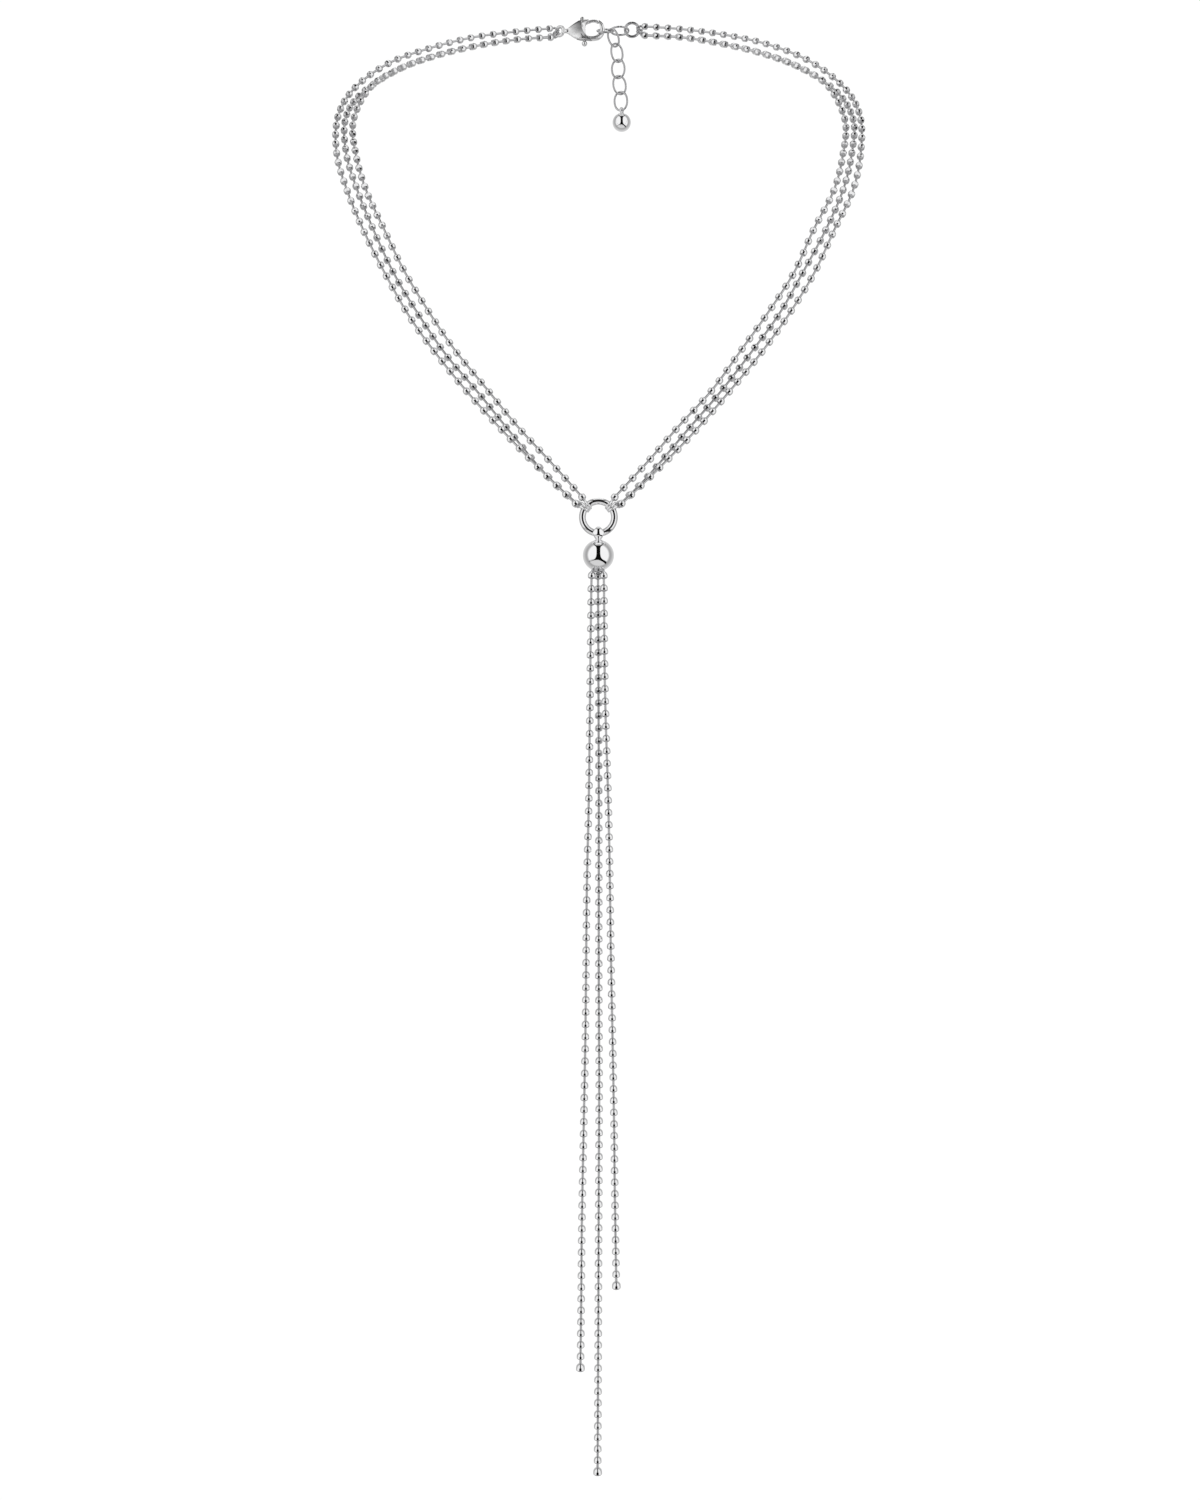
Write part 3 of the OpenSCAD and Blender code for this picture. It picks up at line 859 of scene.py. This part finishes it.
# %% Stations round the window
BODY_STEPS = 6
BODY = np.array(
    [  # outline x and z, window edge x and z, half thickness on the crest
        (-0.33, 2.74, -0.06, 0.98, 0.5), (0.5, 2.12, -0.02, 0.7, 0.54),
        (1.1, 1.22, 0.02, 0.4, 0.58), (1.35, 0.0, 0.03, 0.1, 0.6),
        (1.1, -1.22, -0.12, -0.45, 0.64), (0.42, -2.2, -0.55, -1.08, 0.7),
        (-0.6, -2.85, -1.25, -1.55, 0.76), (-2.0, -3.04, -2.15, -1.72, 0.84),
        (-3.4, -3.0, -3.05, -1.7, 0.92), (-4.7, -2.88, -3.75, -1.5, 1.0),
        (-6.0, -2.76, -4.08, -1.15, 1.08), (-7.3, -2.2, -4.16, -0.75, 1.1),
        (-8.6, -1.35, -4.18, -0.4, 1.1), (-9.35, -0.78, -4.18, -0.1, 1.1),
        (-9.6, -0.2, -4.18, 0.15, 1.1), (-9.3, 0.38, -4.18, 0.4, 1.1),
        (-8.6, 0.88, -4.18, 0.65, 1.1), (-7.3, 1.85, -4.16, 1.0, 1.1),
        (-6.0, 2.56, -4.05, 1.4, 1.06), (-4.8, 2.86, -3.8, 1.75, 1.0),
        (-3.9, 2.97, -3.4, 1.98, 0.95), (-3.3, 3.0, -3.05, 2.1, 0.9),
    ]
)
outline = smooth_line(np.insert(BODY[:, :2], 1, 0, axis=1), BODY_STEPS)
window = smooth_line(np.insert(BODY[:, 2:4], 1, 0, axis=1), BODY_STEPS)
crest = smooth_line(np.outer(BODY[:, 4], (1, 0, 0)), BODY_STEPS)[:, :1]
reach = np.linalg.norm(outline - window, axis=1)[:, None]
print("the band is", reach.min().round(2), "to", reach.max().round(2), "mm wide")

# %% A front or a back half of the body
SLIT = 0.48
SLIT_LEFT, SLIT_RIGHT = -6.5, -3.9
NARROW, WIDE = 1.6, 4.0


def body_half(front):
    """A band round the window. With s the share of the way, the front rises
    from the window's edge to the crest along a mix of a quarter ellipse and a
    straight bevel, then falls as (1 - a s) sqrt(1 - s^n). Bands up to NARROW
    across are round, and they grow flatter up to WIDE. The back is the wall of
    the slit, or the middle plane where there is none. front is -1 or 1."""
    flat = np.clip((reach - NARROW) / (WIDE - NARROW), 0, 1)
    top = 0.5 * (1 - flat) + flat * 0.95 / reach
    share = 0.5 - 0.5 * np.cos(np.linspace(0, np.pi, 19))[None]
    share = np.where(share < 0.5, 2 * share * top, top + (2 * share - 1) * (1 - top))
    s = np.clip(share / top, 0, 1)
    rise = (1 - flat) * np.sqrt(s * (2 - s)) + flat * s
    edge = (0.35 + 0.05 * flat) * crest
    inner = edge + (crest - edge) * rise
    s = np.clip((share - top) / (1 - top), 0, 1)
    outer = 0.26 * crest + 0.74 * crest * (1 - 0.8 * flat * s) * np.sqrt(
        1 - s ** (2 + 4 * flat)
    )
    y = np.where(share < top, inner, outer)
    place = window[:, None] + share[..., None] * (outline - window)[:, None]
    place[..., 1] = front * y
    back = np.linspace(1, 0, 21)[None, :, None]
    wall = window[:, None] + back * (outline - window)[:, None]
    x, z = wall[..., 0], wall[..., 2]
    open_here = (x > SLIT_LEFT) & ((x < SLIT_RIGHT) | (z > 1.5))
    wall[..., 1] = front * np.where(open_here, SLIT, -0.03)
    return np.hstack([place, wall])


# %% Tail, eye, rivet and ears
PIVOT = np.array([-5.1, 0, 1.0])  # the rivet's middle, where the lever turns
eye = tube_grid(
    ring_line(EYE_C, EYE_R, 56, EYE_TURN), EYE_WIRE_R, sides=20,
    up=around(0, EYE_TURN)[1], ring=True,
)
neck_line = smooth_line(
    [(-10.45, -0.62, -0.3), (-10.1, -0.35, -0.3), (-9.6, -0.05, -0.28), (-9.0, 0, -0.25)], 5
)
neck_grow = np.linspace(0, 1, len(neck_line))
tail_neck = tube_grid(neck_line, 0.4 + 0.1 * neck_grow, 0.46 + 0.3 * neck_grow, 16)
rivet = turned_grid(
    [(0.001, -1.13), (0.3, -1.12), (0.38, -1.06), (0.4, -0.95), (0.4, 0.95),
     (0.38, 1.06), (0.3, 1.12), (0.001, 1.13)],
    PIVOT, 20, axis=(0, 1, 0),
)
EAR_C, EAR_R, EAR_T = (-5.0, 2.98), 0.6, 0.4
ears = [
    turned_grid(
        [(0.001, -EAR_T / 2), (EAR_R - 0.12, -EAR_T / 2), (EAR_R - 0.03, -0.16),
         (EAR_R, -0.08), (EAR_R, 0.08), (EAR_R - 0.03, 0.16),
         (EAR_R - 0.12, EAR_T / 2), (0.001, EAR_T / 2)],
        (EAR_C[0], side * (SLIT + EAR_T / 2), EAR_C[1]), 24, axis=(0, 1, 0),
    )
    for side in (-1, 1)
]
skin(
    "clasp_shell",
    [body_half(-1), body_half(1), (eye, True), tail_neck, rivet, *ears],
    "clasp_body",
    "necklace",
    cast_plating_painted_shade,
)

# %% The lever: gate, arm and thumb knob
GATE_X, GATE_Z, GATE_R = -1.875, 0.075, 2.52
KNOB_C, KNOB_R = (-4.4, 0, -3.85), 0.8
phi = np.radians(np.linspace(51, 118, 22))
gate = np.stack(
    [GATE_X + GATE_R * np.cos(phi), 0 * phi, GATE_Z + GATE_R * np.sin(phi)], 1
)
arm = smooth_line([(-3.3, 0, 2.28), (-4.3, 0, 1.75), PIVOT], BODY_STEPS)
gate_line = np.vstack([gate, arm[1:]])
ease = np.clip(np.linspace(0, 1, len(gate_line)) * 18 + 0.4, 0, 1)
lever_gate = tube_grid(gate_line, 0.4 * ease, 0.46 * ease, 18)
# The gate's end is an arc round the rivet, so that it passes the hook's tip.
GATE_REACH = 4.93
from_pivot = (lever_gate - PIVOT) * (1, 0, 1)
far = np.linalg.norm(from_pivot, axis=-1, keepdims=True)
lever_gate -= from_pivot * np.maximum(0, 1 - GATE_REACH / np.maximum(far, 0.1))
stem_line = smooth_line(
    [PIVOT, (-4.75, 0, -0.6), (-4.4, 0, -2.2), (-4.4, 0, -3.4)], BODY_STEPS
)
lever_stem = tube_grid(stem_line, 0.38, np.linspace(0.6, 0.3, len(stem_line)), 16)
lat = np.radians(np.linspace(-89, 89, 18))
knob = turned_grid(
    np.stack([KNOB_R * np.cos(lat), KNOB_R * np.sin(lat)], 1), KNOB_C, 24
)
skin(
    "lever_and_knob",
    [lever_gate, lever_stem, knob],
    "clasp_lever",
    "lever",
    cast_plating_painted_shade,
)

# %% [markdown]
# ## Jump ring and extension chain
# The jump ring and the links are bent from round wire and left with a butt
# joint, a hairline gap. A link is an oval, a little squarer than an ellipse,
# which is turned and leant to its place in the chain.

# %% The jump ring
JOINT_AT, JOINT_SWEEP = 95, 358.6
jump_line = ring_line(JUMP_C, JUMP_R, 72, start=JOINT_AT, sweep=JOINT_SWEEP)
skin(
    "jump_ring_wire",
    [tube_grid(jump_line, JUMP_WIRE_R, sides=20)],
    "jump_ring",
    "necklace",
    wire_plating,
)

# %% The links
LINK_WIRE_R = 0.29
SQUARER = 0.06
LINKS = {  # centre, lean, turn, length and width over the wire
    "hooked_link": ((1.5, 0, -0.2), 90, 60, 5.1, 4.2),
    "joining_link": ((5.6, 0, -0.2), 90, -70, 5.6, 4.2),
    "hanging_link_1": ((3.8, -1.3, -2.6), 24, -50, 5.6, 4.4),
    "hanging_link_2": ((4.8, -1.3, -6.85), 4.7, 35, 5.8, 4.5),
    "hanging_link_3": ((5.17, -1.3, -11.42), 4.7, -25, 5.8, 4.5),
    "hanging_link_4": ((5.54, -1.3, -15.99), 4.7, 25, 5.8, 4.5),
    "hanging_link_5": ((5.91, -1.3, -20.56), 4.7, -25, 5.8, 4.5),
}


def link_grid(centre, lean, turn, length, width):
    """Round wire on an oval: with c and d the cosine and sine of u it is
    (a c |c|^-0.06, 0, b d |d|^-0.06), turned about Z, then leant about Y, then
    put at its centre. A hairline gap is left on one side."""
    u = np.radians(np.linspace(0.8, 359.2, 64))
    a, b = width / 2 - LINK_WIRE_R, length / 2 - LINK_WIRE_R
    c, d = np.cos(u), np.sin(u)
    oval = np.stack(
        [a * c * np.abs(c) ** -SQUARER, 0 * u, b * d * np.abs(d) ** -SQUARER], 1
    )
    t, w = math.radians(turn), math.radians(-lean)
    about_z = np.array(
        [[math.cos(t), -math.sin(t), 0], [math.sin(t), math.cos(t), 0], [0, 0, 1]]
    )
    about_y = np.array(
        [[math.cos(w), 0, math.sin(w)], [0, 1, 0], [-math.sin(w), 0, math.cos(w)]]
    )
    place = about_y @ about_z
    return tube_grid(
        oval @ place.T + np.array(centre), LINK_WIRE_R, sides=14, up=place[:, 1]
    )


for name, row in LINKS.items():
    skin(
        name + "_wire",
        [link_grid(*row)],
        name,
        "necklace",
        wire_plating,
    )

# %% The end ball and its eye
END_C, END_R = np.array([6.15, -1.3, -26.6]), 2.6
END_EYE_R, END_EYE_WIRE_R, END_EYE_TURN, END_EYE_UP = 0.72, 0.25, 55, 0.82
lat = np.radians(np.linspace(-89.5, 76, 40))
end_profile = np.stack([END_R * np.cos(lat), END_R * np.sin(lat)], 1)
end_profile = np.vstack([end_profile, [(0.56, 2.62), (0.5, 2.7), (0.3, 2.72)]])
eye_c = END_C + np.array([0, 0, END_R + END_EYE_UP])
end_eye = tube_grid(
    ring_line(eye_c, END_EYE_R, 36, END_EYE_TURN),
    END_EYE_WIRE_R,
    sides=14,
    up=(-0.819, 0.574, 0),
    ring=True,
)
skin(
    "end_ball_shell",
    [turned_grid(end_profile, END_C, 56), (end_eye, True)],
    "end_ball",
    "necklace",
    ball_plating,
)

# %% [markdown]
# ## Studio
# Polished metal shows the room and nothing else, so the room is built for it:
# a white light tent, seen by reflections only. Its back half is grey, which
# draws a grey edge on every bead. Its front is open in one tall narrow slit
# for the camera, which puts the dark line down the middle of each ball; the
# slit widens towards the table, a light grey round, and a little at its top.
# The cloth is darker right overhead and in a band just above the table, and a
# lamp shines in from above and behind. All of it is one sphere whose glow is
# worked out from the direction towards it, x to the right, y away from the
# camera and z up. The floor is plain and pale, and a white sky lights it
# evenly. This step's lengths are in metres, apart from the tent's radius.

# %% The tent's glow
TENT_C = (0.0, -0.075, -0.155)
TENT_R = 1700
SLIT_DARK, LAMP_GLOW = 0.996, 0.97
tent_cloth = bpy.data.materials.new("tent_cloth")
tent_cloth.use_nodes = True
tree = tent_cloth.node_tree
place = Shade(tree, tree.nodes.new("ShaderNodeTexCoord").outputs["Object"])
way = place.make("ShaderNodeVectorMath", {"operation": "SUBTRACT"}, {0: place, 1: TENT_C})
way = way.make("ShaderNodeVectorMath", {"operation": "NORMALIZE"}, {0: way})
x, y, z = (way.make("ShaderNodeSeparateXYZ", None, {0: way}, out=k) for k in range(3))

wall = (y * -0.5 + 0.5).ramp(  # from the middle of the back to the camera
    [
        (0.0, 0.75), (0.117, 0.66), (0.2275, 0.56), (0.345, 0.45),
        (0.44, 0.4), (0.52, 0.58), (0.61, 1.0),
    ]
)
half_slit = (z * 0.5 + 0.5).ramp(  # from straight down to straight up
    [
        (0.19, 0.8), (0.22, 0.56), (0.27, 0.42), (0.35, 0.32), (0.45, 0.27),
        (0.6, 0.24), (0.88, 0.22), (0.94, 0.26), (0.972, 0.42), (0.976, 0.0),
    ]
)
table_edge = -0.62 - 0.27 * x.clamp(0, 1)
table = z.below(table_edge, 0.015)
slit = x.size().below(half_slit, 0.03) * y.below(0, 0.02) * (1 - table)
dark_edge = z.below(table_edge + 0.13, 0.05) * (1 - table) * y.below(0.1, 0.1)
dark_edge = dark_edge * (0.45 + 0.5 * x.below(0.85, 0.3) * (0 - x).below(0, 0.1))
ceiling = (0 - z).below(-0.92, 0.06)
wall = wall * (1 - 0.6 * ceiling)
glow = wall * (1 - dark_edge) * (1 - table) + table * wall.clamp(0, 0.72)
glow = glow * (1 - SLIT_DARK * slit)
lamp = x.size().below(0.25, 0.06) * (0 - z).below(-0.6, 0.1) * (0 - y).below(0.1, 0.04)
glow = glow + lamp * (LAMP_GLOW - glow).clamp(0, 1)
cloth = tree.nodes["Principled BSDF"]
cloth.inputs["Base Color"].default_value = (0, 0, 0, 1)
cloth.inputs["Roughness"].default_value = 1.0
cloth.inputs["Specular IOR Level"].default_value = 0.0
cloth.inputs["Emission Strength"].default_value = 1.0
tree.links.new(glow.socket, cloth.inputs["Emission Color"])

# %% The tent, the floor and the sky
lat = np.radians(np.linspace(-89.5, 89.5, 40))
tent = solid(
    "light_tent",
    [
        turned_grid(
            np.stack([TENT_R * np.cos(lat), TENT_R * np.sin(lat)], 1),
            np.array(TENT_C) / MM,
            64,
        )
    ],
    tent_cloth,
)
tent.visible_camera = tent.visible_diffuse = tent.visible_shadow = False

FLOOR_Z, FLOOR_HALF = -0.43, 6.0
SKY_STRENGTH = 1.04
floor_mesh = bpy.data.meshes.new("floor")
ends = ((-1, -1), (1, -1), (1, 1), (-1, 1))
corners = [(sx * FLOOR_HALF, sy * FLOOR_HALF, FLOOR_Z) for sx, sy in ends]
floor_mesh.from_pydata(corners, [], [(0, 1, 2, 3)])
floor = bpy.data.objects.new("floor", floor_mesh)
bpy.context.scene.collection.objects.link(floor)
paper = bpy.data.materials.new("floor_paper")
paper.use_nodes = True
sheet = paper.node_tree.nodes["Principled BSDF"]
sheet.inputs["Base Color"].default_value = (0.985, 0.985, 0.985, 1)
sheet.inputs["Roughness"].default_value = 1.0
sheet.inputs["Specular IOR Level"].default_value = 0.0
floor_mesh.materials.append(paper)
floor.visible_glossy = False

sky = bpy.data.worlds.new("white_sky")
bpy.context.scene.world = sky
sky.use_nodes = True
light = sky.node_tree.nodes["Background"]
light.inputs["Color"].default_value = (1, 1, 1, 1)
light.inputs["Strength"].default_value = SKY_STRENGTH
bpy.context.scene.view_settings.view_transform = "Standard"
print("tent radius", TENT_R * MM, "m, floor at", FLOOR_Z, "m")

# %% [markdown]
# ## Camera
# The picture is taken level with the middle of the necklace, 550 mm in front of
# the ring, so that the back of the loop comes out smaller than its front. The
# frame is 375 mm high at the ring.

# %% The camera
SENSOR, DISTANCE, FRAME_HEIGHT = 36.0, 550, 375
camera_data = bpy.data.cameras.new("camera")
camera_data.sensor_width = SENSOR
camera_data.lens = SENSOR * DISTANCE / FRAME_HEIGHT
camera_data.clip_start, camera_data.clip_end = 0.05, 50
camera = bpy.data.objects.new("camera", camera_data)
camera.location = (0, -0.625, -0.2045)
camera.rotation_euler = (math.pi / 2, 0, 0)
bpy.context.scene.collection.objects.link(camera)
bpy.context.scene.camera = camera
print("lens", round(camera_data.lens, 2), "mm")

# %% The end
bpy.context.view_layer.update()
